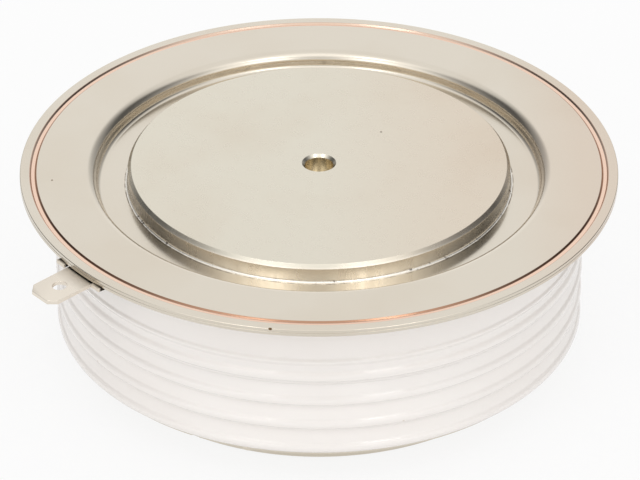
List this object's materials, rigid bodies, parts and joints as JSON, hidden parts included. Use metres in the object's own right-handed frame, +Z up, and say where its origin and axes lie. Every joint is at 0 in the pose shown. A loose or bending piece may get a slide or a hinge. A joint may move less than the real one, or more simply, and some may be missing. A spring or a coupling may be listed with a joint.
{
  "type": "disc thyristor",
  "caption": "Disc-cell power thyristor: a clamped semiconductor stack in a ribbed ceramic ring, with flat round contact faces on both sides, a wide weld rim and flat blade terminals.",
  "frame": {"origin": "centre of the anode contact face, the lower one", "axes": "+Z up the stack to the cathode contact face, -Y along the cathode blade, -X along the gate blade"},
  "size_m": [0.0785, 0.0811, 0.026],
  "materials": {
    "nickel_flange": "satin nickel plate on sheet copper",
    "nickel_pole": "fine-turned nickel plate on copper",
    "terminal_plate": "bright nickel plate",
    "braze": "silver braze, as flowed",
    "glazed_ceramic": "clear gloss glaze on white alumina",
    "molybdenum": "lapped",
    "silicon": "polished, metallised",
    "silicone_rubber": "matt",
    "white_insulator": "matt",
    "spring_steel": "drawn wire",
    "copper": "bare copper",
    "red_sleeve": "extruded insulation",
    "solder": "bright, as flowed"
  },
  "bodies": {
    "root": {"cathode_flange": "nickel_flange", "weld_ring": "nickel_flange", "cathode_pole": "nickel_pole", "cathode_pole_braze": "braze", "housing_top_braze": "braze", "ceramic_housing": "glazed_ceramic", "housing_bottom_braze": "braze", "anode_flange": "nickel_flange", "anode_pole": "nickel_pole", "anode_pole_braze": "braze", "anode_disc": "molybdenum", "silicon_wafer": "silicon", "edge_seal": "silicone_rubber", "cathode_disc": "molybdenum", "centring_ring": "white_insulator", "gate_cup": "white_insulator", "gate_spring": "spring_steel", "gate_pin": "copper", "gate_lead": "copper", "gate_sleeve": "red_sleeve", "gate_tube": "terminal_plate", "gate_terminal": "terminal_plate", "gate_solder": "solder", "cathode_terminal": "terminal_plate"}
  },
  "joints": []
}
